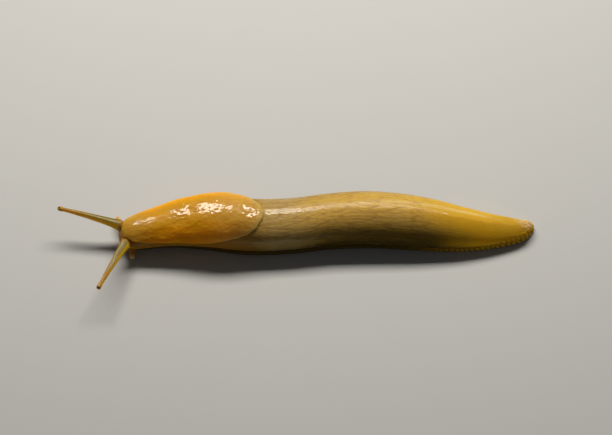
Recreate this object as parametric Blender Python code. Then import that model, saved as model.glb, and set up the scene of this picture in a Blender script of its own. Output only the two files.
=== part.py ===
"""A banana slug at life size, crawling, as a still model such as a museum shows.

Sizes are millimetres until a mesh is made, and MM turns them into Blender's metres.
The slug's head points to -X and its tail to +X. Its left side faces -Y and it lies on z = 0.
A place on its skin is given by s, the distance along the body from just ahead of the head, and by
theta, the angle round the body: 0 on the ridge of the back, positive on the slug's right side,
90 at the widest part of the flank and 180 in the middle of the sole.
"""

import math

import bmesh
import bpy
import numpy as np
from mathutils import Matrix, Vector

MM = 0.001
GAP = 0.3  # clear space between two pieces that touch

# The body, from the front of the head to the tip of the tail
HEAD_FRONT = 0.8  # distance s of the head's foremost point
BODY_END = 149.0
HEAD_ROUNDING = 5.0  # length over which the front of the head closes
TAIL_ROUNDING = 6.5
NOSE_HEIGHT = 5.3
TAIL_TIP_HEIGHT = 3.2
FLANK_ANGLE = 90.0  # theta where the body is widest
BASE_ANGLE = 140.0  # theta where the flank has turned under to the flat base
WIDEST_SHARE = 0.4  # height of the widest part, as a share of the section's height

# Each pair is a distance s and the value there
AXIS_SIDEWAYS = (
    (0, -6.6), (9, -4.3), (20, -2.0), (34, -1.0), (50, -1.8), (64, -1.1),
    (76, 0.5), (92, 1.2), (108, 0.2), (124, -1.5), (138, -1.8), (145, -0.8), (150, 2.1),
)
HALF_WIDTH = (
    (0, 5.3), (9, 6.3), (18, 7.3), (30, 8.8), (42, 9.6), (56, 9.5), (72, 9.4), (91, 9.9),
    (112, 9.3), (126, 7.7), (140, 5.25), (145, 4.15), (150, 3.6),
)
BACK_HEIGHT = (
    (0, 8.7), (9, 10.2), (18, 11.2), (30, 12.8), (42, 14.0), (60, 14.0), (91, 14.6),
    (112, 13.2), (126, 10.6), (140, 6.8), (150, 5.0),
)
RIDGE_POWER = ((0, 2.0), (60, 2.0), (100, 1.75), (130, 1.5), (150, 1.6))  # under 2 is a keel
BASE_SHARE = ((0, 0.45), (12, 0.55), (40, 0.82), (100, 0.86), (126, 0.94), (150, 0.95))
FOOT_SHARE = ((0, 0.62), (12, 0.68), (40, 0.91), (100, 0.93), (120, 0.98), (135, 1.0), (150, 1.0))

BODY_LENGTHS = (
    ("head", HEAD_FRONT, 9), ("neck", 9, 30), ("torso_front", 30, 58), ("torso_middle", 58, 86),
    ("torso_rear", 86, 112), ("tail", 112, 136), ("tail_tip", 136, BODY_END),
)
RING_SPACING = 3.0
UNDER_ANGLES = (101, 114, 127, BASE_ANGLE, 180, -BASE_ANGLE, -127, -114, -101)
RING_ANGLES = np.concatenate([np.arange(-90, 91, 7.5), UNDER_ANGLES])

# The foot: a sole with a grooved fringe round it
FOOT_START = 3.4
FOOT_END = 149.6
FOOT_FRONT_ROUNDING = 5.0
FOOT_HEIGHT = 2.0
FRINGE_PITCH = 1.4
FRINGE_DEPTH = 0.35
# Each loop round the foot: its height, how far it is set in, and its share of the grooves' depth
FRINGE_LEVELS = ((0.0, 0.5, 0.4), (0.8, 0.0, 1.0), (FOOT_HEIGHT, 0.35, 0.6))
FOOT_LENGTHS = (
    ("foot_front", FOOT_START, 44), ("foot_middle", 44, 82),
    ("foot_rear", 82, 118), ("foot_tail", 118, FOOT_END),
)

# The mantle: a thick, smooth shield that lies over the front of the body
MANTLE_CENTRE = 32.0
MANTLE_FRONT = 29.9  # reach of its margin ahead of the centre
MANTLE_REAR = 20.8
MANTLE_HALF_ANGLE = 78.0
MANTLE_FRONT_POWER = 3.0
MANTLE_REAR_POWER = 1.85
MANTLE_RIM = ((0, 0.8), (14, 0.95), (32, 1.2), (54, 0.75))  # thickness near its margin
MANTLE_SWELL = ((0, 0.5), (18, 0.8), (34, 1.75), (46, 1.7), (54, 1.2))  # extra thickness in its middle
RIM_ROUNDING = 0.5  # length over which the margin rounds off
MANTLE_AROUND = 56
MANTLE_RINGS = 10
RIM_TURNS = (50, 20, -20, -50)

# The feelers. Yaw turns one from straight ahead to its own side, and pitch lifts it
UPPER_ROOT = {"right": (2.7, 53.5), "left": (2.65, 59.0)}  # s and theta of its root on the head
LOWER_ROOT = {"right": (3.1, 114.0), "left": (4.5, 112.0)}
ROOT_DEPTH = 1.6  # how deep a feeler's axis starts under the skin, before the head is cut from it
UPPER_LENGTH = 23.8
UPPER_POSE = {"right": (12.0, 10.0), "left": (67.5, 9.5)}
LOWER_LENGTH = {"right": 6.2, "left": 3.5}
LOWER_POSE = {"right": (67.0, -6.0), "left": (89.0, -24.0)}
UPPER_RADIUS = (
    (0, 2.05), (0.06, 1.95), (0.15, 1.62), (0.3, 1.35), (0.5, 1.1), (0.7, 0.9), (0.88, 0.74), (0.965, 0.86),
    (1, 0.86),
)
LOWER_RADIUS = ((0, 1.15), (0.4, 1.02), (0.85, 0.9), (1, 0.85))
ARCH = 0.02  # rise of a feeler's middle, as a share of its length
FEELER_SIDES = 12
FEELER_SPACING = 1.7  # between its rings
EYE_RADIUS = 0.45
EYE_GAP = 0.15
EYE_SINK = 0.36  # how far the middle of an eye lies inside the feeler's end
EYE_TILT = 50.0  # how far an eye looks up from the feeler's own direction

# The mouth and its two lips
LIP_PLACE = (2.7, 1.5, 3.9)  # distance s, to each side, and height
LIP_SIZE = (1.9, 1.6, 1.5)
MOUTH_PLACE = (1.1, 0.0, 3.7)
MOUTH_SIZE = (1.2, 0.25, 1.05)

# The breathing hole on the right of the mantle, and the slime pit on the end of the tail
BREATHING_PLACE = (38.0, 67.5)
BREATHING_SIZE = (1.9, 1.2, 1.1)
BREATHING_LIFT = 2.1  # of its middle over the body, which is about the height of the mantle there
PIT_PLACE = (146.6, 0.0)
PIT_SIZE = (1.7, 1.15, 1.0)


def profile(stations, s):
    """A smooth curve through the pairs, in cubic pieces.

    The curve leaves each pair at the mean of the slopes on its two sides.
    """
    at, value = (np.array(column, float) for column in zip(*stations))
    rise = np.diff(value) / np.diff(at)
    slope = np.concatenate([rise[:1], (rise[1:] + rise[:-1]) / 2, rise[-1:]])
    i = np.clip(np.searchsorted(at, s, side="right") - 1, 0, len(at) - 2)
    step = at[i + 1] - at[i]
    t = (s - at[i]) / step
    near = (1 + 2 * t) * (1 - t) ** 2 * value[i] + t * (1 - t) ** 2 * step * slope[i]
    far = t * t * (3 - 2 * t) * value[i + 1] - t * t * (1 - t) * step * slope[i + 1]
    return near + far


def round_end(distance, rounding):
    """0 at the end of a form, 1 from one rounding inside it: a quarter of a circle."""
    return np.sqrt(1 - (1 - np.clip(distance / rounding, 0, 1)) ** 2)


def along_axis(s, sideways):
    """The plan position of a point that lies to the slug's right of its axis by that much."""
    slope = (profile(AXIS_SIDEWAYS, s + 0.05) - profile(AXIS_SIDEWAYS, s - 0.05)) / 0.1
    scale = np.sqrt(1 + slope * slope)
    return s - slope / scale * sideways, profile(AXIS_SIDEWAYS, s) + sideways / scale


def skin(s, theta):
    """The surface of the body without its mantle, as an array of points."""
    s, theta = np.broadcast_arrays(np.asarray(s, float), np.asarray(theta, float))
    end = round_end(s - HEAD_FRONT, HEAD_ROUNDING) * round_end(BODY_END - s, TAIL_ROUNDING)
    pole = np.where(s < BODY_END / 2, NOSE_HEIGHT, TAIL_TIP_HEIGHT)
    half = profile(HALF_WIDTH, s) * end
    top = pole + (profile(BACK_HEIGHT, s) - pole) * end
    base = pole - (pole - FOOT_HEIGHT - GAP) * end
    widest = base + WIDEST_SHARE * (top - base)
    base_half = half * profile(BASE_SHARE, s)
    turn = np.abs(theta)
    across = np.sin(np.radians(np.minimum(turn, FLANK_ANGLE)))
    over = np.sqrt(np.clip(1 - across ** profile(RIDGE_POWER, s), 0, 1))
    under = np.radians(90) * np.clip((turn - FLANK_ANGLE) / (BASE_ANGLE - FLANK_ANGLE), 0, 1)
    inward = np.clip((turn - BASE_ANGLE) / (180 - BASE_ANGLE), 0, 1)
    flank = base_half + (half - base_half) * np.cos(under)
    sideways = np.where(turn <= FLANK_ANGLE, half * across, flank * (1 - inward))
    upper = widest + (top - widest) * over
    lower = widest - (widest - base) * np.sin(under)
    height = np.where(turn <= FLANK_ANGLE, upper, lower)
    x, y = along_axis(s, sideways * np.sign(theta))
    return np.stack([x, y, height], axis=-1)


def raised(s, theta, lift):
    """The skin moved outwards by lift, along its own normal."""
    step = 0.02
    along = skin(s + step, theta) - skin(s - step, theta)
    around = skin(s, theta + step * 20) - skin(s, theta - step * 20)
    normal = np.cross(along, around)
    normal /= np.linalg.norm(normal, axis=-1, keepdims=True)
    return skin(s, theta) + normal * np.asarray(lift)[..., None]


def raised_point(s, theta, lift):
    return raised(np.array([s]), np.array([theta]), np.array([lift]))[0]


def material(name, colour, roughness):
    made = bpy.data.materials.new(name)
    made.use_nodes = True
    shader = made.node_tree.nodes["Principled BSDF"]
    shader.inputs["Base Color"].default_value = (*colour, 1.0)
    shader.inputs["Roughness"].default_value = roughness
    shader.inputs["Metallic"].default_value = 0.0
    made.diffuse_color = (*colour, 1.0)
    return made


def new_object(name, bm, finish, parent):
    """An object from a mesh in millimetres, its faces turned outwards."""
    bmesh.ops.recalc_face_normals(bm, faces=bm.faces)
    bmesh.ops.scale(bm, vec=(MM, MM, MM), verts=bm.verts)
    mesh = bpy.data.meshes.new(name)
    bm.to_mesh(mesh)
    bm.free()
    mesh.shade_smooth()
    if finish:
        mesh.materials.append(finish)
    made = bpy.data.objects.new(name, mesh)
    bpy.context.scene.collection.objects.link(made)
    made.parent = parent
    return made


def loft(rings, start_pole=None, end_pole=None):
    """A closed surface through rings of the same count. Each end gets a face, or a fan to its pole."""
    bm = bmesh.new()
    rows = [[bm.verts.new(point) for point in ring] for ring in rings]
    count = len(rows[0])
    for near, far in zip(rows, rows[1:]):
        for j in range(count):
            k = (j + 1) % count
            bm.faces.new((near[j], near[k], far[k], far[j]))
    for row, pole in ((rows[0], start_pole), (rows[-1], end_pole)):
        if pole is None:
            bm.faces.new(row)
            continue
        tip = bm.verts.new(pole)
        for j in range(count):
            bm.faces.new((row[j], row[(j + 1) % count], tip))
    return bm


def ring_places(start, end):
    """Distances s of a length's rings, set closer where the head or the tail closes to a point."""
    count = max(2, round((end - start) / RING_SPACING) + 1)
    places = np.linspace(start, end, count)
    if start <= HEAD_FRONT:
        cap = HEAD_FRONT + HEAD_ROUNDING * (1 - np.cos(np.linspace(0, math.pi / 2, 7)[1:-1]))
        places = np.concatenate([cap, np.linspace(HEAD_FRONT + HEAD_ROUNDING, end, 3)])
    if end >= BODY_END:
        cap = end - TAIL_ROUNDING * (1 - np.cos(np.linspace(math.pi / 2, 0, 7)[:-1]))
        places = np.concatenate([np.linspace(start, end - TAIL_ROUNDING, 4)[:-1], cap])
    return places


def body_length(name, start, end, finish, parent, lift=0.0):
    """One length of the body, with half the gap left at each cut end."""
    first = start + GAP / 2 if start > HEAD_FRONT else start
    last = end - GAP / 2 if end < BODY_END else BODY_END
    rings = [raised(s, RING_ANGLES, lift * np.ones(len(RING_ANGLES))) for s in ring_places(first, last)]
    start_pole = skin(HEAD_FRONT, 0.0) - [lift, 0, 0] if first <= HEAD_FRONT else None
    end_pole = skin(BODY_END, 0.0) + [lift, 0, 0] if last >= BODY_END else None
    return new_object(name, loft(rings, start_pole, end_pole), finish, parent)


def foot_half(s):
    end = round_end(s - FOOT_START, FOOT_FRONT_ROUNDING) * round_end(FOOT_END - s, TAIL_ROUNDING)
    return profile(HALF_WIDTH, s) * profile(FOOT_SHARE, s) * end


def foot_edge(start, end, side):
    """Points along one edge of the foot, about half a groove apart, and the way out of it at each."""
    turn = np.linspace(0, math.pi, 2000)
    s = start + (end - start) * (1 - np.cos(turn)) / 2
    edge = np.stack(along_axis(s, side * foot_half(s)), axis=-1)
    run = np.concatenate([[0], np.cumsum(np.linalg.norm(np.diff(edge, axis=0), axis=1))])
    even = np.linspace(0, run[-1], 2 * round((end - start) / FRINGE_PITCH) + 1)
    points = np.stack([np.interp(even, run, edge[:, i]) for i in (0, 1)], axis=-1)
    heading = np.gradient(points, axis=0)
    heading /= np.linalg.norm(heading, axis=1, keepdims=True)
    out = np.stack([-heading[:, 1], heading[:, 0]], axis=-1) * side
    if start <= FOOT_START:
        out[0] = (-1, 0)
    if end >= FOOT_END:
        out[-1] = (1, 0)
    return points, out


def foot_length(name, start, end, finish, parent):
    """A slab with a grooved edge: loops at a few heights, and rungs across the sole and the top."""
    first = start + GAP / 2 if start > FOOT_START else start
    last = end - GAP / 2 if end < FOOT_END else end
    sides = [foot_edge(first, last, side) for side in (1, -1)]
    count = len(sides[0][0])
    bm = bmesh.new()
    loops = []
    for height, inset, share in FRINGE_LEVELS:
        rows = []
        for points, out in sides:
            groove = FRINGE_DEPTH * share * (np.arange(count) % 2)
            rows.append(points - out * (inset + groove)[:, None])
        loops.append([[bm.verts.new((*p, height)) for p in row] for row in rows])
    for lower, upper in zip(loops, loops[1:]):
        for below, above in zip(lower, upper):
            for i in range(count - 1):
                bm.faces.new((below[i], below[i + 1], above[i + 1], above[i]))
        for i in (0, -1):
            bm.faces.new((lower[0][i], lower[1][i], upper[1][i], upper[0][i]))
    for right, left in (loops[0], loops[-1]):
        for i in range(count - 1):
            bm.faces.new((right[i], right[i + 1], left[i + 1], left[i]))
    bmesh.ops.remove_doubles(bm, verts=bm.verts, dist=0.01)
    return new_object(name, bm, finish, parent)


def mantle_place(reach, turn):
    """Where a point of the mantle lies on the body: reach is 0 in its middle and 1 at its margin."""
    ahead = np.cos(turn) < 0
    power = 2 / np.where(ahead, MANTLE_FRONT_POWER, MANTLE_REAR_POWER)
    length = np.where(ahead, MANTLE_FRONT, MANTLE_REAR)
    s = MANTLE_CENTRE + reach * length * np.sign(np.cos(turn)) * np.abs(np.cos(turn)) ** power
    theta = reach * MANTLE_HALF_ANGLE * np.sign(np.sin(turn)) * np.abs(np.sin(turn)) ** power
    return s, theta


def mantle_thickness(s, reach):
    return profile(MANTLE_RIM, s) + profile(MANTLE_SWELL, s) * (1 - reach**3)


def mantle_ring(reach, height, grow):
    """One ring of the mantle: height is 1 on its upper skin, -1 on its under side and 0 between them."""
    turn = np.linspace(0, 2 * math.pi, MANTLE_AROUND, endpoint=False)
    s, theta = mantle_place(reach + grow / MANTLE_REAR, turn)
    middle = mantle_thickness(s, reach) / 2
    return raised(s, theta, GAP + middle + (middle + grow) * height)


def mantle(name, finish, parent, grow=0.0):
    """A closed shell on the body: its upper skin from the middle out, a rim, and its under side back in."""
    flat = 1 - RIM_ROUNDING / MANTLE_REAR
    inside = [flat * math.sin(turn) for turn in np.linspace(0, math.pi / 2, MANTLE_RINGS + 1)[1:]]
    rings = [mantle_ring(reach, 1, grow) for reach in inside]
    for turn in np.radians(RIM_TURNS):
        rings.append(mantle_ring(flat + (1 - flat) * math.cos(turn), math.sin(turn), grow))
    rings += [mantle_ring(reach, -1, grow) for reach in inside[::-1]]
    over = GAP + mantle_thickness(MANTLE_CENTRE, 0.0) + grow
    top, under = (raised_point(MANTLE_CENTRE, 0.0, lift) for lift in (over, GAP - grow))
    return new_object(name, loft(rings, top, under), finish, parent)


def ellipsoid(name, centre, radii, turn, parent):
    """A ball stretched to three radii, turned, and set at its centre."""
    bm = bmesh.new()
    bmesh.ops.create_icosphere(bm, subdivisions=3, radius=1.0)
    place = Matrix.Translation(Vector(centre)) @ turn.to_4x4() @ Matrix.Diagonal((*radii, 1.0))
    bmesh.ops.transform(bm, matrix=place, verts=bm.verts)
    return new_object(name, bm, None, parent)


def helper(made):
    """Marks an object as a cutter, which is no part of the slug."""
    made.hide_render = True
    made.display_type = "WIRE"
    return made


def boolean(target, other, operation):
    change = target.modifiers.new(operation.lower(), "BOOLEAN")
    change.operation = operation
    change.solver = "EXACT"
    if isinstance(other, bpy.types.Collection):
        change.operand_type = "COLLECTION"
        change.collection = other
    else:
        change.object = other


def island_of(vert):
    """Every vertex that is joined to this one."""
    found = {vert}
    edge = [vert]
    while edge:
        for link in edge.pop().link_edges:
            for other in link.verts:
                if other not in found:
                    found.add(other)
                    edge.append(other)
    return found


def apply_and_clean(made):
    """Applies an object's modifiers and keeps only its largest closed surface."""
    graph = bpy.context.evaluated_depsgraph_get()
    mesh = bpy.data.meshes.new_from_object(made.evaluated_get(graph))
    made.modifiers.clear()
    made.data = mesh
    bm = bmesh.new()
    bm.from_mesh(mesh)
    left = set(bm.verts)
    islands = []
    while left:
        islands.append(island_of(next(iter(left))))
        left -= islands[-1]
    largest = max(islands, key=len)
    bmesh.ops.delete(bm, geom=[vert for vert in bm.verts if vert not in largest], context="VERTS")
    bm.to_mesh(mesh)
    bm.free()
    mesh.shade_smooth()


def join_pieces(made, pieces):
    """One union of an object and the closed pieces that grow from it."""
    group = bpy.data.collections.new(made.name + "_pieces")
    bpy.context.scene.collection.children.link(group)
    for piece in pieces:
        bpy.context.scene.collection.objects.unlink(piece)
        group.objects.link(piece)
    boolean(made, group, "UNION")
    apply_and_clean(made)
    for piece in pieces:
        bpy.data.objects.remove(piece)
    bpy.data.collections.remove(group)


def heading_at(s):
    """The turn about the vertical that lines a form up with the axis there."""
    near, far = (np.array(along_axis(s + step, 0.0)) for step in (-0.5, 0.5))
    return Matrix.Rotation(math.atan2(far[1] - near[1], far[0] - near[0]), 3, "Z")


def on_head(ahead, sideways, height):
    x, y = along_axis(np.float64(ahead), sideways)
    return np.array([x, y, height])


def surface_turn(s, theta):
    """A rotation whose X runs along the body there, and whose Z points out of the skin."""
    base = skin(s, theta)
    out = Vector(raised_point(s, theta, 1.0) - base).normalized()
    along = Vector(skin(s + 0.1, theta) - base)
    along = (along - out * along.dot(out)).normalized()
    return Matrix((along, out.cross(along), out)).transposed()


def feeler(name, side, root, length, pose, radii, finish, parent):
    """A tapered tube with a round end, from under the skin to its tip.

    With it come the spot on its round end where an eye sits, and the way that the eye looks.
    """
    yaw, pitch = (math.radians(angle) for angle in pose)
    level = math.cos(pitch)
    way = np.array([-math.cos(yaw) * level, side * math.sin(yaw) * level, math.sin(pitch)])
    side_way = np.cross(way, (0, 0, 1)) / level
    up_way = np.cross(side_way, way)
    end_radius = radii[-1][1]
    run = np.linspace(-ROOT_DEPTH, length - end_radius, max(5, round(length / FEELER_SPACING)))
    turn = np.linspace(0, math.pi / 2, 5)[1:-1]
    radius = np.concatenate([profile(radii, np.clip(run / length, 0, 1)), end_radius * np.cos(turn)])
    run = np.concatenate([run, run[-1] + end_radius * np.sin(turn), [length]])
    path = skin(root[0], side * root[1]) + np.outer(run, way)
    path[:, 2] += ARCH * length * np.sin(math.pi * np.clip(run / length, 0, 1))
    around = np.linspace(0, 2 * math.pi, FEELER_SIDES, endpoint=False)
    circle = np.outer(np.cos(around), side_way) + np.outer(np.sin(around), up_way)
    rings = [centre + size * circle for centre, size in zip(path, radius)]
    tilt = math.radians(EYE_TILT)
    look = math.cos(tilt) * way + math.sin(tilt) * up_way
    spot = path[-1] + (look - way) * end_radius
    return new_object(name, loft(rings, None, path[-1]), finish, parent), spot, look


def head_details(head, parent):
    """Two lips joined to the front of the head, and the slit of the mouth between them."""
    turn = heading_at(HEAD_FRONT + 1)
    lips = []
    for side in (-1, 1):
        ahead, sideways, height = LIP_PLACE
        lips.append(ellipsoid("lip", on_head(ahead, side * sideways, height), LIP_SIZE, turn, parent))
    join_pieces(head, lips)
    slit = helper(ellipsoid("mouth_cutter", on_head(*MOUTH_PLACE), MOUTH_SIZE, turn, parent))
    boolean(head, slit, "DIFFERENCE")


def feelers_and_eyes(finish, eye_finish, head_cutter, mantle_cutter, parent):
    for name, side in (("right", 1), ("left", -1)):
        upper, spot, look = feeler(
            "upper_feeler_" + name, side, UPPER_ROOT[name], UPPER_LENGTH, UPPER_POSE[name],
            UPPER_RADIUS, finish, parent,
        )
        lower, _, _ = feeler(
            "lower_feeler_" + name, side, LOWER_ROOT[name], LOWER_LENGTH[name], LOWER_POSE[name],
            LOWER_RADIUS, finish, parent,
        )
        for made in (upper, lower):
            boolean(made, head_cutter, "DIFFERENCE")
            boolean(made, mantle_cutter, "DIFFERENCE")
        eye_centre = spot - look * EYE_SINK
        eye_size = (EYE_RADIUS, EYE_RADIUS, EYE_RADIUS)
        socket_size = [radius + EYE_GAP for radius in eye_size]
        socket = ellipsoid("socket_" + name, eye_centre, socket_size, Matrix.Identity(3), parent)
        boolean(upper, helper(socket), "DIFFERENCE")
        eye = ellipsoid("eye_" + name, eye_centre, eye_size, Matrix.Identity(3), parent)
        eye.data.materials.append(eye_finish)


def rest_on_origin(slug):
    """Moves the slug so that the middle of its bounding box is over the origin, with its sole on z = 0."""
    bpy.context.view_layer.update()
    graph = bpy.context.evaluated_depsgraph_get()
    corners = np.array([
        made.matrix_world @ Vector(corner)
        for made in slug.children if not made.hide_render
        for corner in made.evaluated_get(graph).bound_box
    ])
    low, high = corners.min(axis=0), corners.max(axis=0)
    slug.location = (-(low[0] + high[0]) / 2, -(low[1] + high[1]) / 2, -low[2])


def main():
    for old in list(bpy.data.objects):
        bpy.data.objects.remove(old)
    slug = bpy.data.objects.new("slug", None)
    bpy.context.scene.collection.objects.link(slug)
    skin_finish = material("body_skin", (0.55, 0.38, 0.12), 0.35)
    feeler_finish = material("feeler_skin", (0.62, 0.50, 0.28), 0.3)
    mantle_finish = material("mantle_skin", (0.72, 0.42, 0.07), 0.3)
    foot_finish = material("foot_skin", (0.60, 0.36, 0.12), 0.4)
    eye_finish = material("eye", (0.02, 0.015, 0.01), 0.15)
    body = {
        name: body_length(name, start, end, skin_finish, slug)
        for name, start, end in BODY_LENGTHS
    }
    for name, start, end in FOOT_LENGTHS:
        foot_length(name, start, end, foot_finish, slug)
    shield = mantle("mantle", mantle_finish, slug)
    head_details(body["head"], slug)
    hole = ellipsoid(
        "breathing_cutter", raised_point(*BREATHING_PLACE, BREATHING_LIFT), BREATHING_SIZE,
        surface_turn(*BREATHING_PLACE), slug,
    )
    boolean(shield, helper(hole), "DIFFERENCE")
    pit = ellipsoid("pit_cutter", skin(*PIT_PLACE), PIT_SIZE, surface_turn(*PIT_PLACE), slug)
    boolean(body["tail_tip"], helper(pit), "DIFFERENCE")
    head_cutter = helper(body_length("head_cutter", HEAD_FRONT, 9, None, slug, GAP))
    mantle_cutter = helper(mantle("mantle_cutter", None, slug, GAP))
    feelers_and_eyes(feeler_finish, eye_finish, head_cutter, mantle_cutter, slug)
    rest_on_origin(slug)


main()
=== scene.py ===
"""A banana slug at life size, dressed for a museum case around its solid model.

Shapes are worked out in millimetres. A place on the body is given by s, the distance along it from
just ahead of the head, and by theta, the angle round the body in degrees: 0 on the ridge of the
back, positive on the slug's right side, 90 at the widest part of the flank and 180 in the middle
of the sole. Meshes are made in metres, in the frame of the solid model.
"""

import math

import bpy
import numpy as np
from bpy.props import FloatProperty, FloatVectorProperty, PointerProperty
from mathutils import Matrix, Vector


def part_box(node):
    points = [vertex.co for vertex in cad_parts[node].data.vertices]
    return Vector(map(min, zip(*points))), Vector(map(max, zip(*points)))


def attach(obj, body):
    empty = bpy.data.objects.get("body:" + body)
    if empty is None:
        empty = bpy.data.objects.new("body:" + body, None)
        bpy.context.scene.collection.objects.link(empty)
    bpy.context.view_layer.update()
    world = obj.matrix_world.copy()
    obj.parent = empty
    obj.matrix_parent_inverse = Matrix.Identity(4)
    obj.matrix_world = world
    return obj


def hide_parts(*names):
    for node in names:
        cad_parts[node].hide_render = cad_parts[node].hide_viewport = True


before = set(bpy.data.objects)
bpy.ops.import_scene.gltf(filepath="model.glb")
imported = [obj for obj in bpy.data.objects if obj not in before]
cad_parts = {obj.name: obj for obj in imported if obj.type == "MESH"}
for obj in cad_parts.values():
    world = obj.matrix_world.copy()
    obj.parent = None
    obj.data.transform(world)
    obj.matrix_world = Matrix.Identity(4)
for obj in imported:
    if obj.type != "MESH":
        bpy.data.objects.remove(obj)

bl_info = {
    "name": "Banana slug",
    "version": (1, 0, 0),
    "blender": (4, 5, 0),
    "location": "3D View > Sidebar > Slug",
    "description": "Makes the skin, mantle, foot and eyes of a banana slug, and a plain stage",
    "category": "Mesh",
}

MM = 0.001
BODY = "root"
TILE = 256  # size of the tables that random heights and spots are drawn from
FLESH_NODES = (
    "head", "neck", "torso_front", "torso_middle", "torso_rear", "tail", "tail_tip",
    "upper_feeler_right", "upper_feeler_left", "lower_feeler_right", "lower_feeler_left",
)
FOOT_NODES = ("foot_front", "foot_middle", "foot_rear", "foot_tail")

# The body's outline: each pair is a distance s and the value there
HEAD_FRONT = 0.8  # distance s of the head's foremost point
BODY_END = 149.0
HEAD_ROUNDING = 5.0
TAIL_ROUNDING = 6.5
NOSE_HEIGHT = 5.3
TAIL_TIP_HEIGHT = 2.5
FLANK_ANGLE = 90.0
BASE_ANGLE = 140.0
WIDEST_SHARE = ((0, 0.4), (96, 0.4), (126, 0.2), (150, 0.2))
BASE_HEIGHT = 2.3
AXIS_SIDEWAYS = (
    (0, -6.6), (9, -4.3), (20, -2.0), (34, -1.0), (50, -1.8), (64, -1.1),
    (76, 0.5), (92, 1.2), (108, 0.2), (124, -1.5), (138, -1.8), (145, -0.8), (150, 2.1),
)
HALF_WIDTH = (
    (0, 5.3), (9, 6.3), (18, 7.3), (30, 8.8), (42, 9.6), (56, 9.5), (72, 9.4), (91, 9.9),
    (112, 9.3), (126, 7.7), (140, 5.25), (145, 4.15), (150, 3.6),
)
BACK_HEIGHT = (
    (0, 8.7), (9, 10.2), (18, 11.2), (30, 12.8), (42, 14.0), (60, 14.0), (91, 14.6),
    (112, 13.2), (126, 10.6), (140, 6.8), (150, 5.0),
)
RIDGE_POWER = ((0, 2.0), (60, 2.0), (100, 1.75), (130, 1.5), (150, 1.6))
BASE_SHARE = ((0, 0.45), (12, 0.55), (40, 0.82), (100, 0.86), (126, 0.94), (150, 0.95))
FOOT_SHARE = ((0, 0.62), (12, 0.68), (40, 0.91), (100, 0.93), (120, 0.98), (135, 1.0), (150, 1.0))
SHIFT_NODE = "torso_middle"  # its box in the frame places the body's own coordinates
SHIFT_SPAN = (58.15, 85.85)
SHIFT_ANGLES = np.arange(-90, 91, 7.5)

# The skin's grid: the length of its cells along the body, and how many there are round it
SKIN_STEPS = (
    (0, 0.17), (6, 0.18), (12, 0.5), (24, 0.8), (44, 0.75), (52, 0.52),
    (104, 0.52), (116, 0.36), (130, 0.25), (150, 0.24),
)
SIDE_COLUMNS = 176
BELLY_COLUMNS = 16
ROW_SAMPLES = 20001

# Degrees along the body that the back's tones, with their painted shade and painted highlight, lean to the
# slug's right
RIDGE_LEAN = ((0, 0), (44, -6), (60, -8), (72, 0), (95, 12), (125, 20), (150, 20))

# Distances s between which the skin's relief changes
HEAD_WRINKLES_FADE = (30, 52)
GRAINS_FADE = (104, 126)
BUMPS_START = (142, 146)
LOBES_START = (112, 130)
LOBES_CLIMB = (128, 142)
LOBES_FADE = (146.5, 148.5)

# The foot
FOOT_START = 3.4
FOOT_END = 149.6
FOOT_FRONT_ROUNDING = 5.0
FOOT_HEIGHT = 2.0
FOOT_TOP = 2.4
FOOT_STATIONS = 1100
EDGE_SAMPLES = 6000
SOLE_INSETS = (2.2, 1.4)  # from the foot's edge to each row of points on the sole
TOP_INSETS = (1.3, 2.2)
FRINGE_STEPS = 12
FRINGE_PITCH = 1.4
TAIL_RUN = 112.0  # along the foot's edge, where the lobes of the fringe begin to widen
TAIL_PITCH_SHARE = 0.74
FRINGE_ROUNDING = 0.55
GROOVE_LEAN = -0.5
LOBE_RISE = 0.05  # height on the tail's flank for each degree of theta

# The mantle
MANTLE_CENTRE = 32.0
MANTLE_FRONT = 29.9
MANTLE_REAR = 20.8
MANTLE_HALF_ANGLE = 78.0
MANTLE_FRONT_POWER = 3.0
MANTLE_REAR_POWER = 1.85
MANTLE_RIM = ((0, 1.1), (14, 1.25), (32, 1.4), (46, 0.75), (54, 0.22))
MANTLE_SWELL = ((0, 0.5), (18, 0.8), (34, 1.75), (46, 1.7), (54, 1.2))
MANTLE_AROUND = 420
MANTLE_RINGS = 140
RIM_REACH = 0.965  # share of the mantle's reach where its rim begins to round off
RIM_STEPS = 10
RIM_MIDDLE = 0.2  # height of the rim's edge, as a share of the mantle's thickness
UNDER_SINK = 1.4  # depth of the under side below the skin, which keeps the rim from looking thin
UNDER_STRIDE = 18  # the under side has one ring for so many of the upper skin's
# The mantle's wet patches: distance s of each, half its length, and how wet it is
WET_PATCHES = ((8.5, 6.5, 0.66), (23.0, 3.6, 1.0), (35.5, 6.0, 1.0), (48.2, 2.8, 1.2))
MARGIN_WAVE = 0.012
BORDER_DEPTH = 0.03
DEGREE_LENGTH = 0.17  # length of one degree of theta on the mantle's flank
BREATHING_PLACE = (38.0, 67.5)
BREATHING_RING = 0.14
BREATHING_DEPTH = 1.35
CLEFT_DEPTH = 0.35

# The feelers: distance s and theta of each one's root, the degrees that it turns from straight ahead
# to its own side and then up, its length, and the turn of its painted highlight streak from its top in
# radians
FEELERS = {
    "upper_right": (2.7, 53.5, 12.0, 10.0, 23.8, -0.08),
    "upper_left": (2.65, -59.0, 67.5, 9.5, 23.8, 0.35),
    "lower_right": (3.1, 114.0, 67.0, -6.0, 6.2, -0.08),
    "lower_left": (4.5, -112.0, 89.0, -24.0, 3.5, 0.35),
}
UPPER_RADIUS = (
    (0, 2.05), (0.06, 1.95), (0.15, 1.62), (0.3, 1.35), (0.5, 1.1), (0.7, 0.9), (0.88, 0.74),
    (0.965, 0.86), (1, 0.86),
)
LOWER_RADIUS = ((0, 1.15), (0.4, 1.02), (0.85, 0.9), (1, 0.85))
UPPER_HOLE = 1.95  # radius of the patch of the head's skin that a feeler grows from
LOWER_HOLE = 1.1
HOLE_FADE = 1.5
HOLE_RELAX = 14  # times that the skin round a feeler's root is evened out
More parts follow.
